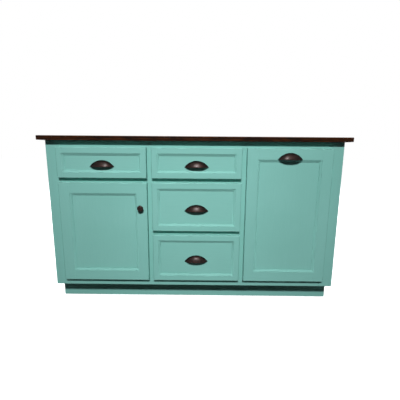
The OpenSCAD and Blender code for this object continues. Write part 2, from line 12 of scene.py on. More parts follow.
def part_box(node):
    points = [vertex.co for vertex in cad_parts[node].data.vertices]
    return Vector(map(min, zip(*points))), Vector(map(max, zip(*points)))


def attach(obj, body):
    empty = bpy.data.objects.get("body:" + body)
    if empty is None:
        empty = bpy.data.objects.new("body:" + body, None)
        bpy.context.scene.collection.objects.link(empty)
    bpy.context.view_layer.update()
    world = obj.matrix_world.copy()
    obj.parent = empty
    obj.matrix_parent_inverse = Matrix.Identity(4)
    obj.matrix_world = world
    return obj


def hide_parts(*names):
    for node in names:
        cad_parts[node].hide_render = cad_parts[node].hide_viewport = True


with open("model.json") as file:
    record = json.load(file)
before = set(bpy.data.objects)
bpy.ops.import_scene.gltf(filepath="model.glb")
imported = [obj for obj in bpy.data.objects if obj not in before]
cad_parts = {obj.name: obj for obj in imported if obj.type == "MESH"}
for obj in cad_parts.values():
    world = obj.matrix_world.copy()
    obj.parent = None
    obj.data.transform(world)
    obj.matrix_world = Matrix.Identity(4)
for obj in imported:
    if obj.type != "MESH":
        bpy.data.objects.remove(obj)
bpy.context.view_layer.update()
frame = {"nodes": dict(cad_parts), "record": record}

MM = 0.001                   # a millimetre in Blender's metres
RECORD = frame["record"]
BODY_OF = {n: body for body, members in RECORD["behaviour"]["bodies"].items() for n in members}
SLOT_OF = {row["node"]: row["material_slot"] for row in RECORD["subparts"]}


# ---------- Camera, lamps and floor ----------

CAMERA_PLACE = (0.0374, -1.7369, 0.8373)    # metres
CAMERA_YAW, CAMERA_PITCH, CAMERA_ROLL = (math.radians(a) for a in (-0.304, 10.26, -0.447))
CAMERA_LENS, CAMERA_SENSOR = 25.389, 36.0   # mm

AMBIENT = 0.022              # strength of the light from all round
FLOOR_TONES = ("3b3b3b", "e6e6e6")   # of the floor to the light, and to the camera
FLOOR_GLOW = (0.62, 1.0)     # lifts the floor to white in the picture, near and far
GLOW_REACH = (1.6, 3.4)      # metres from the unit's middle to near and to far
FLOOR_HALF = 20.0            # half the floor's width, metres

# Each lamp's place, aim, and width and height, in metres, its watts, and its spread in degrees
LAMPS = {
    "front_lamp": ((0.0, -4.35, 4.02), (0.0, -0.3, 0.5), (0.5, 0.4), 27.4, 56.0),
    "left_lamp": ((-4.4, 1.7, 2.4), (-0.4, 0.0, 0.5), (1.8, 1.8), 210.0, 180.0),
    "right_lamp": ((4.4, 1.7, 2.4), (0.4, 0.0, 0.5), (1.8, 1.8), 210.0, 180.0),
    "back_lamp": ((0.0, 4.6, 2.8), (0.0, 0.3, 0.4), (1.8, 1.8), 150.0, 180.0),
}


def place_camera():
    """The photograph's camera: turned by its yaw, tipped down by its pitch, then rolled."""
    forward = Vector((math.sin(CAMERA_YAW) * math.cos(CAMERA_PITCH),
                      math.cos(CAMERA_YAW) * math.cos(CAMERA_PITCH), -math.sin(CAMERA_PITCH)))
    level = Vector((math.cos(CAMERA_YAW), -math.sin(CAMERA_YAW), 0.0))
    down = forward.cross(level)
    right = math.cos(CAMERA_ROLL) * level + math.sin(CAMERA_ROLL) * down
    down = -math.sin(CAMERA_ROLL) * level + math.cos(CAMERA_ROLL) * down
    turn = Matrix((right, -down, -forward)).transposed()
    data = bpy.data.cameras.new("camera")
    data.sensor_width, data.lens = CAMERA_SENSOR, CAMERA_LENS
    camera = bpy.data.objects.new("camera", data)
    camera.matrix_world = Matrix.Translation(CAMERA_PLACE) @ turn.to_4x4()
    bpy.context.scene.collection.objects.link(camera)
    bpy.context.scene.camera = camera


def soft_box(name, place, aim, size, watts, spread):
    """A lamp of size (width, height) at place that faces aim, and fans out by spread degrees."""
    data = bpy.data.lights.new(name, "AREA")
    data.shape, data.size, data.size_y, data.energy = "RECTANGLE", *size, watts
    data.spread = math.radians(spread)
    lamp = bpy.data.objects.new(name, data)
    lamp.location = place
    lamp.rotation_euler = (Vector(aim) - Vector(place)).to_track_quat("-Z", "Y").to_euler()
    bpy.context.scene.collection.objects.link(lamp)


def linear(code):
    """An sRGB hex colour as linear red, green, blue and alpha."""
    parts = np.array([int(code[i:i + 2], 16) for i in (0, 2, 4)]) / 255.0
    low, high = parts / 12.92, ((parts + 0.055) / 1.055) ** 2.4
    return (*np.where(parts <= 0.04045, low, high), 1.0)


def set_inputs(tree, node, inputs):
    """Sets a node's inputs: each name or number has a value, or the output linked to it."""
    for name, value in inputs.items():
        if isinstance(value, bpy.types.NodeSocket):
            tree.links.new(value, node.inputs[name])
        else:
            node.inputs[name].default_value = value


def add(tree, kind, inputs=None, out=0, **settings):
    """Adds a node with its settings, and with its inputs by name or number or, in a tuple, in
    their order. Returns its output of that name or number, or for None the node itself."""
    made = tree.nodes.new("ShaderNode" + kind)
    for name, value in settings.items():
        setattr(made, name, value)
    set_inputs(tree, made, dict(enumerate(inputs)) if isinstance(inputs, tuple) else inputs or {})
    return made if out is None else made.outputs[out]


def pale_to_camera(tree):
    """1 for rays that come from the camera, from gloss or through glass, 0 for all others."""
    path = add(tree, "LightPath", out=None).outputs
    seen = add(tree, "Math", (path["Is Camera Ray"], path["Is Glossy Ray"]),
               operation="MAXIMUM")
    return add(tree, "Math", (seen, path["Is Transmission Ray"]), operation="MAXIMUM")


def make_studio():
    """A high lamp far in front, larger lamps beside and behind, and a floor and a sky that
    look white from the camera, whatever light they give back."""
    for name, settings in LAMPS.items():
        soft_box(name, *settings)

    world = bpy.data.worlds.new("studio")
    bpy.context.scene.world = world
    world.use_nodes = True
    tree = world.node_tree
    tree.nodes.clear()
    strength = add(tree, "MapRange", (pale_to_camera(tree), 0.0, 1.0, AMBIENT, 1.0))
    sky = add(tree, "Background", {"Color": linear("ffffff"), "Strength": strength})
    add(tree, "OutputWorld", {"Surface": sky}, None)

    paper = bpy.data.materials.new("studio_paper")
    paper.use_nodes = True
    tree = paper.node_tree
    tree.nodes.clear()
    pale = pale_to_camera(tree)
    dark, light = (linear(code) for code in FLOOR_TONES)
    tone = add(tree, "Mix", {0: pale, 6: dark, 7: light}, 2, data_type="RGBA")
    matt = add(tree, "BsdfDiffuse", {"Color": tone})
    away = add(tree, "VectorMath", (add(tree, "TexCoord", out="Object"),), "Value",
               operation="LENGTH")
    near_to_far = add(tree, "MapRange", (away, *GLOW_REACH, *FLOOR_GLOW))
    strength = add(tree, "Math", (pale, near_to_far), operation="MULTIPLY")
    glow = add(tree, "Emission", {"Color": linear("ffffff"), "Strength": strength})
    add(tree, "OutputMaterial", {"Surface": add(tree, "AddShader", (matt, glow))}, None)
    corners = [(x * FLOOR_HALF, y * FLOOR_HALF, 0)
               for x, y in ((-1, -1), (1, -1), (1, 1), (-1, 1))]
    mesh = bpy.data.meshes.new("floor")
    mesh.from_pydata(corners, [], [(0, 1, 2, 3)])
    mesh.materials.append(paper)
    floor = bpy.data.objects.new("floor", mesh)
    bpy.context.scene.collection.objects.link(floor)
    bpy.context.scene.view_settings.view_transform = "Standard"


# ---------- Materials ----------

STAVE = 0.092                # width of one board of the counter, metres
VENEER = 1.4                 # thickness of one veneer of the plywood, mm


def new_material(name):
    """An empty material with its shader: returns the material, its tree and the shader."""
    material = bpy.data.materials.new(name)
    material.use_nodes = True
    tree = material.node_tree
    tree.nodes.clear()
    shader = add(tree, "BsdfPrincipled", out=None)
    add(tree, "OutputMaterial", {"Surface": shader.outputs[0]}, None)
    return material, tree, shader


def mottle(tree, size, detail=2.0, rough=0.5):
    """Smooth mottling from 0 to 1, fixed to the piece, whose blotches are about size
    millimetres across along X, Y and Z."""
    place = add(tree, "TexCoord", out="Object")
    steps = add(tree, "Mapping", {"Vector": place, "Scale": tuple(1000.0 / s for s in size)})
    return add(tree, "TexNoise", {"Vector": steps, "Scale": 1.0, "Detail": detail,
                                  "Roughness": rough})


def lay_coats(tree, shader, ground, coats, rough, relief, plain):
    """Finishes a material. Over the ground's colour lie the coats: each has its tone, the
    pattern that it follows, the pattern's values where it begins and is full, and its share
    there. Rough is a pattern, two of its values and the roughness at each. Relief is a stack
    of patterns with their depths in millimetres, the lowest first. Plain holds the shader's
    uniform numbers."""
    colour, normal = linear(ground), None
    for tone, pattern, begins, full, share in coats:
        part = add(tree, "MapRange", (pattern, begins, full, 0.0, share))
        colour = add(tree, "Mix", {0: part, 6: colour, 7: linear(tone)}, 2, data_type="RGBA")
    for pattern, depth in relief:
        under = {} if normal is None else {"Normal": normal}
        normal = add(tree, "Bump", {"Height": pattern, "Strength": 1.0,
                                    "Distance": depth * MM, **under})
    set_inputs(tree, shader, {"Base Color": colour, "Roughness": add(tree, "MapRange", rough),
                              "Normal": normal, **plain})


def satin_enamel():
    """Satin alkyd enamel, brushed on maple: a milky blue-green with long fine brush marks,
    a little thinner and lighter on the eased edges. The shade mark turns it towards a dark
    green: painted shade in the corners and recesses of the mouldings, on the outer rounding
    of stiles and on the boards that lie back behind the fronts."""
    material, tree, shader = new_material("satin_enamel_on_maple")
    # the film is uneven over some 400 mm, and dried with a slight orange peel of 3.5 mm
    patches = mottle(tree, (420, 420, 260), 3.0)
    orange_peel = mottle(tree, (3.5, 3.5, 3.5), 1.0)
    # brush marks 0.9 mm apart, drawn out to 70 mm along the board that they run on
    upright = mottle(tree, (0.9, 0.9, 70), 3.0, 0.6)
    level = mottle(tree, (70, 0.9, 0.9), 3.0, 0.6)
    along_x = add(tree, "Attribute", out="Fac", attribute_name="level")
    strokes = add(tree, "Mix", {0: along_x, 2: upright, 3: level})
    worn = add(tree, "Attribute", out="Fac", attribute_name="edge")
    shaded = add(tree, "Attribute", out="Fac", attribute_name="painted_shade")
    lay_coats(tree, shader, "86c5bb", [
        ("8ccac1", patches, 0.3, 0.7, 1.0),
        ("a3d8d0", worn, 0.0, 1.0, 0.35),
        # painted shade: a dark green wherever the shade mark lies
        ("35766b", shaded, 0.0, 1.0, 1.0),
        ("7fbdb3", strokes, 0.35, 0.65, 0.4),
    ], (strokes, 0.3, 0.7, 0.46, 0.54), [(strokes, 0.02), (orange_peel, 0.02)],
        {"Specular IOR Level": 0.08})
    return material


def stained_pine():
    """Pine boards glued edge to edge, stained dark brown and lacquered: each stave has its own
    tone, red-brown early wood between near-black late-wood lines, and fine open pores."""
    material, tree, shader = new_material("dark_stained_pine")
    place = add(tree, "TexCoord", out="Object")
    stave = add(tree, "Math", (add(tree, "SeparateXYZ", (place,), "Y"), STAVE),
                operation="DIVIDE")
    number = add(tree, "Math", (stave,), operation="FLOOR")
    own = add(tree, "TexWhiteNoise", {"W": number}, None, noise_dimensions="1D").outputs
    shift = add(tree, "VectorMath", {0: own["Color"], "Scale": 3.0}, operation="SCALE")
    spot = add(tree, "VectorMath", (place, shift), operation="ADD")
    # growth rings 8 mm apart across the board, drawn out to 130 mm along it
    stretched = add(tree, "Mapping", {"Vector": spot, "Scale": (7.5, 120, 120)})
    rings = add(tree, "TexNoise", {"Vector": stretched, "Scale": 1.0, "Detail": 5.0,
                                   "Roughness": 0.62, "Distortion": 0.6})
    # cathedral arches some 38 mm apart across the board and 700 mm long
    drawn = add(tree, "Mapping", {"Vector": spot, "Scale": (1.4, 26, 40)})
    arches = add(tree, "TexWave", {"Vector": drawn, "Scale": 1.0, "Distortion": 5.0,
                                   "Detail": 3.0, "Detail Scale": 1.2}, "Fac",
                 wave_type="RINGS", rings_direction="X")
    grain = add(tree, "Mix", {0: 0.45, 2: rings, 3: arches})
    # the stain took unevenly, in streaks 70 mm long and 16 mm wide
    streak = mottle(tree, (70, 16, 16), 4.0, 0.6)
    # pores 0.5 mm wide and 9 mm long
    fine = add(tree, "Mapping", {"Vector": spot, "Scale": (110, 2000, 2000)})
    pores = add(tree, "TexNoise", {"Vector": fine, "Scale": 1.0, "Detail": 2.0})
    pits = add(tree, "MapRange", (pores, 0.56, 0.7, 0.0, 1.0))
    # the glue line between two staves is a hair lower and darker
    within = add(tree, "Math", (stave,), operation="FRACT")
    off = add(tree, "Math", (within, 0.5), operation="SUBTRACT")
    off = add(tree, "Math", (off,), operation="ABSOLUTE")
    joint = add(tree, "MapRange", (off, 0.492, 0.499, 0.0, 1.0))
    worn = add(tree, "Attribute", out="Fac", attribute_name="edge")
    lay_coats(tree, shader, "0e0602", [
        ("4a250e", grain, 0.36, 0.64, 1.0),
        ("55311a", own["Value"], 0.0, 1.0, 0.35),
        ("100804", streak, 0.4, 0.58, 0.9),
        ("120a08", pits, 0.0, 1.0, 0.55),
        ("6b4030", worn, 0.0, 1.0, 0.3),
        ("0e0807", joint, 0.0, 1.0, 0.7),
    ], (grain, 0.2, 0.8, 0.6, 0.5), [(joint, -0.2), (grain, 0.12), (pits, -0.05)],
        {"Specular IOR Level": 0.05})
    return material


def birch_plywood():
    """Birch plywood under clear lacquer: pale cream faces with faint flame figure, and edges
    striped by the veneers, every second one end grain and darker."""
    material, tree, shader = new_material("lacquered_birch_plywood")
    # figure 240 mm by 26 mm, and fibres 22 mm by 0.9 mm
    figure = mottle(tree, (240, 240, 26), 4.0, 0.6)
    fibre = mottle(tree, (22, 22, 0.9), 2.0)
    # veneers counted in pairs through the board, of which one is dark where it shows
    through = add(tree, "Attribute", out="Fac", attribute_name="ply")
    pairs = add(tree, "Math", (through, 1.0 / (2 * VENEER * MM)), operation="MULTIPLY")
    pairs = add(tree, "Math", (pairs, 0.25), operation="ADD")
    layer = add(tree, "Math", (pairs,), operation="FRACT")
    dark = add(tree, "Math", (layer, 0.5), operation="GREATER_THAN")
    shows = add(tree, "Attribute", out="Fac", attribute_name="cut_edge")
    striped = add(tree, "Math", (dark, shows), operation="MULTIPLY")
    lay_coats(tree, shader, "d9bd93", [
        ("e8d2ae", figure, 0.3, 0.7, 1.0),
        ("c5a477", fibre, 0.45, 0.7, 0.35),
        ("a57c50", striped, 0.0, 1.0, 0.75),
    ], (fibre, 0.3, 0.7, 0.42, 0.55), [(striped, -0.05), (fibre, 0.03)],
        {"Specular IOR Level": 0.35})
    return material


def rubbed_bronze():
    """Oil-rubbed bronze, cast, darkened and waxed: nearly black red-brown, rubbed through to a
    copper tone on rims, under a thin wax that gives it a soft colourless gloss."""
    material, tree, shader = new_material("oil_rubbed_bronze")
    # it darkened in patches of 9 mm, over a cast skin with grains of 0.7 mm
    cloud = mottle(tree, (9, 9, 9), 4.0, 0.6)
    cast_skin = mottle(tree, (0.7, 0.7, 0.7), 2.0)
    worn = add(tree, "Attribute", out="Fac", attribute_name="edge")
    lay_coats(tree, shader, "0a0605", [
        ("2a1713", cloud, 0.35, 0.7, 1.0),
        ("6e4438", worn, 0.0, 1.0, 0.45),
    ], (cloud, 0.3, 0.7, 0.42, 0.52), [(cast_skin, 0.02)],
        {"Metallic": 1.0, "Coat Weight": 0.25, "Coat Roughness": 0.32,
         "Specular Tint": linear("706058")})
    return material


def zinc_plate():
    """Rolled steel sheet with bright zinc: cool grey, with fine rolling lines along its length
    and a faint bluish spangle."""
    material, tree, shader = new_material("zinc_plated_steel")
    # rolling lines 0.5 mm apart and 40 mm long, and a spangle of 11 mm
    rolling = mottle(tree, (0.5, 40, 0.5), 2.0)
    spangle = mottle(tree, (11, 11, 11), 1.0)
    lay_coats(tree, shader, "94989b", [("a9acad", spangle, 0.35, 0.65, 1.0)],
              (rolling, 0.3, 0.7, 0.28, 0.42), [(rolling, 0.004)], {"Metallic": 1.0})
    return material


def nickel_plate():
    """Pressed steel with satin nickel: warm grey, with a fine tumbled grain."""
    material, tree, shader = new_material("satin_nickel_plated_steel")
    # a grain of 0.8 mm, and a tone that varies over 14 mm
    tumbled = mottle(tree, (0.8, 0.8, 0.8), 3.0)
    cloud = mottle(tree, (14, 14, 14))
    lay_coats(tree, shader, "9d988e", [("afaaa0", cloud, 0.35, 0.65, 1.0)],
              (tumbled, 0.3, 0.7, 0.26, 0.38), [(tumbled, 0.006)], {"Metallic": 1.0})
    return material


def moulded_polypropylene():
    """Injection-moulded polypropylene: dark grey with a spark-eroded grain of 1 mm and the
    slightly waxy gloss of that plastic, scuffed pale on its rims."""
    material, tree, shader = new_material("grey_polypropylene")
    spark = mottle(tree, (1.0, 1.0, 1.0), 3.0, 0.6)
    cloud = mottle(tree, (90, 90, 90), 2.0)
    worn = add(tree, "Attribute", out="Fac", attribute_name="edge")
    lay_coats(tree, shader, "55585b", [
        ("5f6265", cloud, 0.3, 0.7, 1.0),
        ("83868a", worn, 0.0, 1.0, 0.4),
    ], (spark, 0.3, 0.7, 0.42, 0.6), [(spark, 0.05)], {"Specular IOR Level": 0.45})
    return material


# ---------- Meshes ----------

SHARP = math.radians(38)     # faces that turn by more than this meet in a sharp edge
JOIN = 1e-6                  # vertices closer than this, in metres, are one


def finish_mesh(bm, name, materials):
    """Joins the doubles, turns the faces outwards and makes the mesh, with the faces' marks."""
    bmesh.ops.remove_doubles(bm, verts=bm.verts, dist=JOIN)
    bmesh.ops.recalc_face_normals(bm, faces=bm.faces)
    mesh = bpy.data.meshes.new(name)
    bm.to_mesh(mesh)
    bm.free()
    for material in materials:
        mesh.materials.append(material)
    mesh.polygons.foreach_set("use_smooth", np.ones(len(mesh.polygons), bool))
    mesh.set_sharp_from_angle(angle=SHARP)
    return mesh


def flatten(mesh):
    """Leaves smooth shading only on the faces that carry the edge mark."""
    edge = np.empty(len(mesh.polygons), np.float32)
    mesh.attributes["edge"].data.foreach_get("value", edge)
    mesh.polygons.foreach_set("use_smooth", edge > 0.5)


def surface_piece(name, vertices, faces, materials, marks, material_index=None):
    """A closed piece from its vertices in millimetres and its faces, with a number on each
    face for each mark, and the number of its material where there are more than one."""
    raw = bpy.data.meshes.new(name + "_raw")
    raw.from_pydata((vertices * MM).tolist(), [], faces)
    for mark, values in marks.items():
        layer = raw.attributes.new(mark, "FLOAT", "FACE")
        layer.data.foreach_set("value", np.asarray(values, np.float32))
    if material_index is not None:
        raw.polygons.foreach_set("material_index", np.asarray(material_index, np.int32))
    bm = bmesh.new()
    bm.from_mesh(raw)
    bpy.data.meshes.remove(raw)
    mesh = finish_mesh(bm, name, materials)
    piece = bpy.data.objects.new(name, mesh)
    bpy.context.scene.collection.objects.link(piece)
    return piece


def stand_for(piece, node):
    """The piece takes the node's place: it rides on the node's body, and the node is hidden."""
    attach(piece, BODY_OF[node])
    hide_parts(node)


def grid_faces(rows, columns, wrap_rows=True):
    """Four-cornered faces between neighbours on a grid of rows and columns. The last column
    meets the first, and the last row too, where wrap_rows says so."""
    r = np.arange(rows if wrap_rows else rows - 1)[:, None]
    c = np.arange(columns)[None, :]
    r2, c2 = (r + 1) % rows, (c + 1) % columns
    return np.stack([r * columns + c, r * columns + c2, r2 * columns + c2, r2 * columns + c],
                    -1).reshape(-1, 4)


def islands(mesh):
    """A number for each vertex, the same within each loose part of the mesh."""
    edges = np.empty(len(mesh.edges) * 2, np.int64)
    mesh.edges.foreach_get("vertices", edges)
    edges = edges.reshape(-1, 2)
    label = np.arange(len(mesh.vertices))
    while True:
        lower = np.minimum(label[edges[:, 0]], label[edges[:, 1]])
        new = label.copy()
        np.minimum.at(new, edges[:, 0], lower)
        np.minimum.at(new, edges[:, 1], lower)
        new = new[new]
        if np.array_equal(new, label):
            return label
        label = new


def mark_boards(mesh):
    """For each loose board: ply is the distance through its thinnest side, cut_edge is 1 on
    the faces that show the veneers, and level is 1 where the board runs along X."""
    spots = np.empty(len(mesh.vertices) * 3)
    mesh.vertices.foreach_get("co", spots)
    spots = spots.reshape(-1, 3)
    label = islands(mesh)
    names, inverse = np.unique(label, return_inverse=True)
    low = np.full((len(names), 3), np.inf)
    high = np.full((len(names), 3), -np.inf)
    np.minimum.at(low, inverse, spots)
    np.maximum.at(high, inverse, spots)
    size = high - low
    thin = size.argmin(1)
    depth = (spots - low[inverse])[np.arange(len(spots)), thin[inverse]]
    mesh.attributes.new("ply", "FLOAT", "POINT").data.foreach_set("value",
                                                                  depth.astype(np.float32))
    first = np.empty(len(mesh.polygons), np.int64)
    mesh.polygons.foreach_get("loop_start", first)
    corner = np.empty(len(mesh.loops), np.int64)
    mesh.loops.foreach_get("vertex_index", corner)
    owner = inverse[corner[first]]
    normal = np.empty(len(mesh.polygons) * 3)
    mesh.polygons.foreach_get("normal", normal)
    through = np.abs(normal.reshape(-1, 3)[np.arange(len(owner)), thin[owner]])
    mesh.attributes.new("cut_edge", "FLOAT", "FACE").data.foreach_set(
        "value", (through < 0.5).astype(np.float32))
    level = (size[:, 0] >= size[:, 2]).astype(np.float32)
    mesh.attributes.new("level", "FLOAT", "FACE").data.foreach_set("value", level[owner])


def paint_board_shade(mesh, uprights, rest):
    """Gives whole boards a share of the shade mark, painted shade with which the paint darkens:
    upright boards one share, and the rest another."""
    level = np.empty(len(mesh.polygons), np.float32)
    mesh.attributes["level"].data.foreach_get("value", level)
    mesh.attributes.new("painted_shade", "FLOAT", "FACE").data.foreach_set(
        "value", np.where(level > 0.5, rest, uprights).astype(np.float32))


# How far each kind of piece has its edges eased, in millimetres
EASES = {"face_frame": 0.8, "end_panels": 0.8, "toe_kick_board": 0.8, "back_panel": 0.5,
         "partitions": 0.4, "cabinet_bottom": 0.4, "top_stretchers": 0.5, "shelf": 0.6,
         "slide_spacers": 0.5, "front_panel": 0.3, "door_panel": 0.3, "box_walls": 0.8,
         "tray_walls": 0.8, "box_bottom": 0.3, "tray_bottom": 0.3, "brackets": 0.4,
         "outer_slides": 0.25, "middle_slides": 0.25, "inner_slides": 0.25,
         "hinge_arms": 0.2}
EASE_STEPS = 2                   # faces across an eased edge
EASED_FROM = math.radians(30)    # a sharper edge than this is eased
FLAT = math.radians(0.5)         # triangles that turn by less than this are one face

# Painted shade on the boards that lie back behind the fronts: how far the paint turns towards
# its dark tone on their upright parts and on the others
BOARD_SHADE = {"face_frame": (0.05, 0.05), "toe_kick_board": (0.1, 0.1)}


def eased_copy(node, material, ease):
    """A copy of a CAD node with its doubles merged, its flat triangles joined and its sharp
    edges rounded off by ease millimetres."""
    bm = bmesh.new()
    bm.from_mesh(frame["nodes"][node].data)
    bmesh.ops.remove_doubles(bm, verts=bm.verts, dist=JOIN)
    bmesh.ops.dissolve_limit(bm, angle_limit=FLAT, verts=bm.verts, edges=bm.edges,
                             use_dissolve_boundaries=False)
    edge = bm.faces.layers.float.new("edge")
    sharp = [e for e in bm.edges
             if len(e.link_faces) == 2 and e.calc_face_angle(0.0) > EASED_FROM]
    made = bmesh.ops.bevel(bm, geom=sharp, offset=ease * MM, offset_type="OFFSET",
                           segments=EASE_STEPS, profile=0.5, affect="EDGES",
                           clamp_overlap=True)
    for face in made["faces"]:
        face[edge] = 1.0
    mesh = finish_mesh(bm, node + "_eased", [material])
    flatten(mesh)
    mark_boards(mesh)
    # painted shade on the boards set back behind the fronts
    if node in BOARD_SHADE:
        paint_board_shade(mesh, *BOARD_SHADE[node])
    piece = bpy.data.objects.new(node + "_eased", mesh)
    bpy.context.scene.collection.objects.link(piece)
    stand_for(piece, node)


# ---------- Moulded fronts ----------

# All in millimetres
FRONT_EASE = 2.5             # radius of the rounding all round each front
ARRIS = 0.4                  # bevel where the flat meets the moulding
HOLD = 0.3                   # narrow strip beside a rounding that keeps the flat's shade even
QUIRK = 1.0                  # step at the outer edge of the moulding
LIP = 2.4                    # step at its inner edge, down to the panel. Both are lower than in
                             # the solids (2.0 and 4.0), to shade as in the photograph
MOULDING = 10.5              # width of the moulding
WAVE_SHARE = 0.25            # how much of the moulding's fall is a wave, the rest a slope
DRAWER_BORDER, DOOR_BORDER = 28.5, 55.0   # flat width of the two kinds of frame
RECESS = 9.0                 # of the panel behind the frame
PANEL = 6.0                  # thickness of the panel
GROOVE = 9.0                 # how deep the panel is let into its frame
HAIRLINE_HALF = 0.22         # half the width of the joint between a rail and a stile
HAIRLINE_DEPTH = 0.35        # of that joint

# Painted shade: how far the paint turns towards its dark tone
NOOK_SHADE = 0.15            # in the nooks of every moulding
RAIL_SHADE = 0.25            # and further in those of rails
ROUND_SHADE = 0.5            # on the outer rounding of stiles


def bar_profile(border, thick):
    """The section of a bar, inwards and forwards, with marks for its eased edges and for the
    painted shade in its nooks: a quarter round at the outer edge, a flat, a small step, a
    slope with a slight cosine wave, a lip, and the groove for the panel. Each mark is for the
    strip that follows its point."""
    turn = np.radians(np.linspace(0, 90, 5))
    outer = np.c_[FRONT_EASE * (1 - np.cos(turn)), thick - FRONT_EASE * (1 - np.sin(turn))]
    end, panel = border + MOULDING, thick - RECESS
    t = np.linspace(0, 1, 15)
    top, foot = thick - QUIRK, panel + LIP
    fall = (1 - WAVE_SHARE) * t + WAVE_SHARE * (1 - np.cos(np.pi * t)) / 2
    wave = np.c_[border + MOULDING * t, top - (top - foot) * fall]
    # each part's second number is the edge mark, its third the painted shade in the nooks
    parts = [([[0, 0], [0, thick - FRONT_EASE - HOLD]], 0, 0), (outer[:-1], 1, 0),
             ([outer[-1], [FRONT_EASE + HOLD, thick], [border - ARRIS - HOLD, thick]], 0, 0),
             ([[border - ARRIS, thick]], 1, 0), ([[border, thick - ARRIS]], 0, 1),
             (wave[:-1], 0, 0), ([wave[-1]], 0, 1),
             ([[end, panel], [end - GROOVE, panel], [end - GROOVE, panel - PANEL],
               [end, panel - PANEL], [end, 0]], 0, 0)]
    points = np.concatenate([np.asarray(p, float) for p, _, _ in parts])
    edge = np.concatenate([np.full(len(p), e, float) for p, e, _ in parts])
    painted_shade = np.concatenate([np.full(len(p), n, float) for p, _, n in parts])
    return points, edge, painted_shade


def moulded_frame(node, border, paint):
    """A front's frame: its bar's section carried round the rectangle. A point of the section
    that lies d inside stands on each side at the place s along it, held between d and the
    side's length less d, so that the corners are mitred. Hairlines show where the rails
    butt against the stiles."""
    low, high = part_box(node)
    low, high = np.array(low) / MM, np.array(high) / MM
    width, height, thick = high[0] - low[0], high[2] - low[2], high[1] - low[1]
    section, edge, painted_shade = bar_profile(border, thick)
    joint = np.array([-HAIRLINE_HALF, 0, HAIRLINE_HALF])
    rail = np.concatenate([[0], border + joint, width - border + joint, [width]])
    hairlines = (2, 5)           # the stations on a rail that lie in its two joints
    sides = [((low[0], low[2]), (1, 0), (0, 1), rail, width),
             ((high[0], low[2]), (0, 1), (-1, 0), np.array([0, height]), height),
             ((high[0], high[2]), (-1, 0), (0, -1), rail, width),
             ((low[0], high[2]), (0, -1), (1, 0), np.array([0, height]), height)]
    d, v = section[:, 0][:, None], section[:, 1][:, None]
    front = (v > thick - HOLD) & (d <= border)
    columns, levels = [], []
    for start, along, inward, stations, length in sides:
        s = np.clip(stations[None, :-1], d, length - d)
        x = start[0] + s * along[0] + d * inward[0]
        z = start[1] + s * along[1] + d * inward[1]
        is_rail = stations is rail
        line = np.isin(np.arange(len(stations) - 1), hairlines) & is_rail
        y = high[1] - v + HAIRLINE_DEPTH * (front & line[None, :])
        columns.append(np.stack([x, y + 0 * x, z], -1))
        levels.append(np.full(len(stations) - 1, float(is_rail)))
    grid = np.concatenate(columns, 1)
    rows, count = grid.shape[:2]
    faces = grid_faces(rows, count)
    level = np.tile(np.concatenate(levels), rows)
    # painted shade: the nooks darken, more on rails, and the outer rounding of stiles darkens
    # instead of taking the lighter edge
    rounded = np.repeat(edge * (section[:, 0] < FRONT_EASE), count) * (1 - level)
    shade = np.repeat(painted_shade, count) * (NOOK_SHADE + RAIL_SHADE * level) + ROUND_SHADE * rounded
    marks = {"edge": np.repeat(edge, count) - rounded, "level": level, "painted_shade": shade}
    piece = surface_piece(node + "_moulded", grid.reshape(-1, 3), faces.tolist(), [paint], marks)
    stand_for(piece, node)


# ---------- Counter ----------

# All in millimetres
COUNTER_EASE = 3.0           # radius of the eased edges
COUNTER_CORNER = 5.0         # radius of the corners, seen from above
COUNTER_MARGIN = 0.4         # narrow strip beside an eased edge, as HOLD


def level_ring(box, inset, height, radius, least, steps):
    """The outline, at a height, of a box (x0, x1, y0, y1) drawn in by inset, with round
    corners: each is its arc's centre plus the radius times the cosine and the sine of the
    angle. The radius shrinks by the inset, down to least."""
    x0, x1, y0, y1 = box[0] + inset, box[1] - inset, box[2] + inset, box[3] - inset
    r = max(radius - inset, least)
    turn = np.radians(np.linspace(0, 90, steps))
    corners = [(x1 - r, y1 - r, 0), (x0 + r, y1 - r, 90), (x0 + r, y0 + r, 180),
               (x1 - r, y0 + r, 270)]
    outline = np.concatenate([np.c_[x + r * np.cos(turn + np.radians(g)),
                                    y + r * np.sin(turn + np.radians(g))]
                              for x, y, g in corners])
    return np.c_[outline, np.full(len(outline), height)]


def lids(rows, count, first=0):
    """The two many-cornered faces that close a stack of rings at its ends."""
    last = first + (rows - 1) * count
    return [list(range(first, first + count))[::-1], list(range(last, last + count))]


def counter_slab(wood):
    """The counter: a round-cornered outline carried up its edge, drawn in at the top and the
    bottom by a quarter round, inset = r (1 - sin a) and height = r (1 - cos a)."""
    low, high = (np.array(p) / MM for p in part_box("countertop"))
    a = np.radians(np.linspace(0, 90, 6))
    far = COUNTER_EASE + COUNTER_MARGIN
    inset = np.concatenate([[far], COUNTER_EASE * (1 - np.sin(a)), [0]])
    lift = np.concatenate([[0], COUNTER_EASE * (1 - np.cos(a)), [far]])
    insets = np.concatenate([inset, inset[::-1]])
    heights = np.concatenate([low[2] + lift, high[2] - lift[::-1]])
    box = (low[0], high[0], low[1], high[1])
    grid = np.stack([level_ring(box, i, z, COUNTER_CORNER, least=1.0, steps=5)
                     for i, z in zip(insets, heights)])
    rows, count = grid.shape[:2]
    faces = grid_faces(rows, count, wrap_rows=False).tolist() + lids(rows, count)
    turned = [1.0] * (len(a) - 1)
    edge = np.array([0.0] + turned + [0.0] * 3 + turned + [0.0])
    marks = {"edge": np.append(np.repeat(edge, count), [0.0, 0.0])}
    piece = surface_piece("countertop_slab", grid.reshape(-1, 3), faces, [wood], marks)
    stand_for(piece, "countertop")


# ---------- Cup pulls and knob ----------

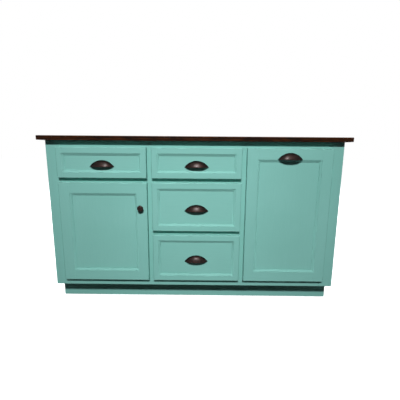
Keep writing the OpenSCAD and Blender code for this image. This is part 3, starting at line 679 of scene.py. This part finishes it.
PULL_WALL = 2.2              # mm
PULL_START = math.radians(42)    # where on its quarter ellipse a pull's section starts
PULL_BOW = 2.5               # power of the lower edge's bow: 2 is a parabola, more is flatter
POST_APART = 76.2            # mm between a pull's two screw posts
POST_R = 4.0                 # mm
POST_UP = 10.0               # mm from the pull's lower edge to a post's axis
POST_SIDES = 28
# Points along a pull, and on its section up the outside, down the inside and round the lip
ALONG, OUTSIDE, INSIDE, ROUND_LIP = 61, 22, 18, 6

# The knob and its screw in millimetres
KNOB_FOOT_R, KNOB_WAIST_R = 8.6, 6.1
KNOB_FOOT, KNOB_FOOT_EASE, KNOB_WAIST = 1.8, 0.4, 3.5    # heights
KNOB_FLARE, KNOB_RIM, KNOB_DOME = 4.3, 1.5, 8.0      # heights
KNOB_SIDES, SCREW_SIDES = 56, 28
SCREW_R, SCREW_HEAD_R, SCREW_HEAD, SCREW_EASE = 2.0, 4.0, 2.0, 0.6
SCREW_BITE = 10.0            # how far the screw reaches into the knob


def revolved(profile, count, place):
    """A closed profile turned about the Y axis through place: a point at radius r and distance
    f forwards lies at r cos a, -f, r sin a."""
    a = np.linspace(0, 2 * np.pi, count, endpoint=False)[None, :]
    r, f = profile[:, 0][:, None], profile[:, 1][:, None]
    grid = np.stack([place[0] + r * np.cos(a), place[1] - f + 0 * a, place[2] + r * np.sin(a)],
                    -1)
    return grid.reshape(-1, 3), grid_faces(len(profile), count, wrap_rows=False)


def cup_pull(node, bronze):
    """A cup pull. Its outline on the mounting face is an arc from tip to tip, and its lower
    edge bows out by out (1 - |x / half| ** PULL_BOW). At each place x the section is the part
    of a quarter ellipse from PULL_START, at the lower lip, to its end at the mounting face. The
    lip is rounded by half an ellipse, the inside follows at the wall's thickness, and both
    tips close to a point. Two posts inside take the screws: round columns that end in the
    middle of the wall."""
    low, high = (np.array(p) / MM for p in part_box(node))
    wide, out, tall = high - low
    half = wide / 2
    x = -half * np.cos(np.linspace(0, np.pi, ALONG))[:, None]
    start = math.sin(PULL_START)

    def arc(rise, x):
        """Height over the chord from tip to tip of a circle that rises by rise."""
        under = (half ** 2 - rise ** 2) / (2 * rise)
        return np.maximum(np.sqrt(half ** 2 + under ** 2 - x ** 2) - under, 0)

    def shell(reach, z_low, z_high, steps):
        """The section's points between two heights."""
        a = np.linspace(PULL_START, np.pi / 2, steps)[None, :]
        share = (np.sin(a) - start) / (1 - start)
        return reach * np.cos(a) / math.cos(PULL_START), z_low + (z_high - z_low) * share

    def bow(x):
        """How far the lower edge stands out at x: flatter in the middle than a circle."""
        return out * (1 - np.abs(x / half) ** PULL_BOW)

    crown, forward = arc(tall, x), bow(x)
    lip = np.minimum(PULL_WALL / 2, crown * 0.3)
    vault = np.maximum(crown - PULL_WALL, lip)
    fo, zo = shell(forward, lip, crown, OUTSIDE)
    hollow = np.maximum(forward - PULL_WALL, 0)
    fi, zi = (p[:, ::-1] for p in shell(hollow, lip, vault, INSIDE))
    turn = np.linspace(0, np.pi, ROUND_LIP + 2)[None, 1:-1]
    middle, half_wall = (fo[:, :1] + fi[:, -1:]) / 2, (fo[:, :1] - fi[:, -1:]) / 2
    fl, zl = middle - half_wall * np.cos(turn), lip * (1 - np.sin(turn))
    f = np.concatenate([fo, fi, fl], 1)
    z = np.concatenate([zo, zi, zl], 1)
    grid = np.stack([low[0] + half + x + 0 * f, high[1] - f, low[2] + z], -1)
    faces = grid_faces(*grid.shape[:2], wrap_rows=False)
    rim = np.zeros(OUTSIDE + INSIDE + ROUND_LIP)
    rim[-4:-1] = 1.0             # the middle of the lip is rubbed
    marks = [np.tile(rim, grid.shape[0] - 1)]
    points = [grid.reshape(-1, 3)]
    corners = [faces]
    angle = np.linspace(0, 2 * np.pi, POST_SIDES, endpoint=False)[None, :]
    radius = POST_R * np.array([0, 1, 1, 0])[:, None]
    for side in (-1, 1):
        px = side * POST_APART / 2 + radius * np.cos(angle)
        pz = POST_UP + radius * np.sin(angle)
        lean = np.sqrt(1 - (start + (1 - start) * pz / arc(tall, px)) ** 2)
        deep = bow(px) * lean / math.cos(PULL_START) - PULL_WALL / 2
        # a post starts a hair off the mounting face
        reach = np.where(np.arange(len(radius))[:, None] < 2, 0.05, deep)
        spots = np.stack([low[0] + half + px, high[1] - reach, low[2] + pz], -1).reshape(-1, 3)
        quads = grid_faces(len(radius), POST_SIDES, wrap_rows=False)
        corners.append(quads + sum(len(p) for p in points))
        points.append(spots)
        marks.append(np.zeros(len(quads)))
    piece = surface_piece(node + "_cast", np.concatenate(points),
                          np.concatenate(corners).tolist(), [bronze],
                          {"edge": np.concatenate(marks)})
    stand_for(piece, node)


def door_knob(bronze, zinc):
    """The knob, turned about its axis: a foot, a narrow waist, a hollow quarter-ellipse flare,
    a rim and an elliptical dome, with its pan-head screw behind the door."""
    low, high = (np.array(p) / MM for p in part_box("door_knob"))
    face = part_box("door_frame")[0][1] / MM
    centre = ((low[0] + high[0]) / 2, face, (low[2] + high[2]) / 2)
    radius, out = (high[0] - low[0]) / 2, face - low[1]
    a = np.radians(np.linspace(0, 90, 13))
    rim_f = out - KNOB_DOME
    flare_f = rim_f - KNOB_RIM - KNOB_FLARE
    foot = [[0, 0], [KNOB_FOOT_R - KNOB_FOOT_EASE, 0], [KNOB_FOOT_R, KNOB_FOOT_EASE],
            [KNOB_FOOT_R, KNOB_FOOT]]
    neck = np.radians(np.linspace(0, 90, 7))
    hollow = np.c_[KNOB_FOOT_R - (KNOB_FOOT_R - KNOB_WAIST_R) * np.sin(neck),
                   KNOB_FOOT + 0.2 + KNOB_WAIST * (1 - np.cos(neck))]
    flare = np.c_[KNOB_WAIST_R + (radius - 0.6 - KNOB_WAIST_R) * (1 - np.cos(a)),
                  flare_f + KNOB_FLARE * np.sin(a)]
    rim = [[radius - 0.2, rim_f - 1.1]]
    dome = np.c_[radius * np.cos(a), rim_f + KNOB_DOME * np.sin(a)]
    profile = np.concatenate([foot, hollow, flare, rim, dome])
    head, quads = revolved(profile, KNOB_SIDES, centre)
    tip = high[1] - face + SCREW_BITE
    shank = np.array([[0, 0], [SCREW_HEAD_R - SCREW_EASE, 0], [SCREW_HEAD_R, SCREW_EASE],
                      [SCREW_HEAD_R, SCREW_HEAD], [SCREW_R, SCREW_HEAD], [SCREW_R, tip - 0.2],
                      [SCREW_R - 0.4, tip], [0, tip]])
    screw, screw_quads = revolved(shank, SCREW_SIDES, (centre[0], high[1], centre[2]))
    kinds = np.r_[np.zeros(len(quads)), np.ones(len(screw_quads))]
    rim_row = len(foot) + len(hollow) + len(flare)
    worn = np.zeros(len(profile) - 1)
    worn[rim_row - 2:rim_row + 3] = 0.8
    marks = {"edge": np.r_[np.repeat(worn, KNOB_SIDES), np.zeros(len(screw_quads))]}
    piece = surface_piece("door_knob_turned", np.concatenate([head, screw]),
                          np.concatenate([quads, screw_quads + len(head)]).tolist(),
                          [bronze, zinc], marks, kinds)
    stand_for(piece, "door_knob")


# ---------- Bins ----------

# All in millimetres
BIN_GAP = 4.0                # between the two bins
BIN_CORNER = 34.0            # radius of the rim's corners
BIN_RIM = 8.0                # width of the turned-down rim
BIN_TAPER = 14.0             # how far the foot lies in from the top of the wall
BIN_WALL = 3.0


def kitchen_bins(plastic):
    """Two tapered bins. Each is a round-cornered outline carried up the outer wall, over the
    turned-down rim and down the inner wall, and closed by two floors, the inner one a wall's
    thickness over the outer. The path gives the outline's distance inside the rim's, its
    height over the foot, and the edge mark of the strip that follows."""
    low, high = (np.array(p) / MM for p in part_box("bins"))
    length = (high[1] - low[1] - BIN_GAP) / 2
    tall = high[2] - low[2]
    foot, inner = BIN_RIM + BIN_TAPER, BIN_RIM + BIN_WALL
    inner_foot = foot + BIN_WALL
    path = np.array([
        [foot + 3.0, 0, 0], [foot + 0.9, 0.9, 0], [foot, 3.0, 0],
        [BIN_RIM, tall - 6, 0], [1.0, tall - 6, 0.5], [0.3, tall - 5.7, 1], [0, tall - 5, 1],
        [0, tall - 1.4, 1], [0.4, tall - 0.4, 1], [1.4, tall, 1], [BIN_RIM + 1.6, tall, 1],
        [inner - 0.4, tall - 0.4, 1], [inner, tall - 1.6, 0],
        [inner_foot, 6.0, 0], [inner_foot + 1.0, 4.0, 0], [inner_foot + 3.0, BIN_WALL, 0]])
    points, corners, marks = [], [], []
    for i in (0, 1):
        y0 = low[1] + i * (length + BIN_GAP)
        box = (low[0], high[0], y0, y0 + length)
        grid = np.stack([level_ring(box, d, low[2] + z, BIN_CORNER, least=4.0, steps=9)
                         for d, z, _ in path])
        rows, count = grid.shape[:2]
        first = sum(len(p) for p in points)
        corners += (grid_faces(rows, count, wrap_rows=False) + first).tolist()
        corners += lids(rows, count, first)
        points.append(grid.reshape(-1, 3))
        marks += [np.repeat(path[:-1, 2], count), [0.0, 0.0]]
    piece = surface_piece("bins_moulded", np.concatenate(points), corners, [plastic],
                          {"edge": np.concatenate(marks)})
    stand_for(piece, "bins")


# ---------- The whole unit ----------

def build_unit():
    """Dresses every node: fronts, counter, handles and bins as new surfaces, boards and sheet
    metal as eased copies, and the screws, pins and hinge cups as they are."""
    finishes = {"painted_wood": satin_enamel(), "stained_wood": stained_pine(),
                "birch_ply": birch_plywood(), "dark_bronze": rubbed_bronze(),
                "zinc_steel": zinc_plate(), "nickel_steel": nickel_plate(),
                "bin_plastic": moulded_polypropylene()}
    paint, bronze = finishes["painted_wood"], finishes["dark_bronze"]
    for node, shape in sorted(frame["nodes"].items()):
        finish = finishes[SLOT_OF[node]]
        shape.data.materials.clear()
        shape.data.materials.append(finish)
        if node == "countertop":
            counter_slab(finish)
        elif node.endswith("front_frame") or node == "door_frame":
            wide = node in ("door_frame", "bin_carrier_front_frame")
            moulded_frame(node, DOOR_BORDER if wide else DRAWER_BORDER, paint)
        elif node.endswith("cup_pull"):
            cup_pull(node, bronze)
        elif node == "door_knob":
            door_knob(bronze, finishes["zinc_steel"])
        elif node == "bins":
            kitchen_bins(finish)
        else:
            for ending, ease in EASES.items():
                if node.endswith(ending):
                    eased_copy(node, finish, ease)
                    break


place_camera()
make_studio()
build_unit()
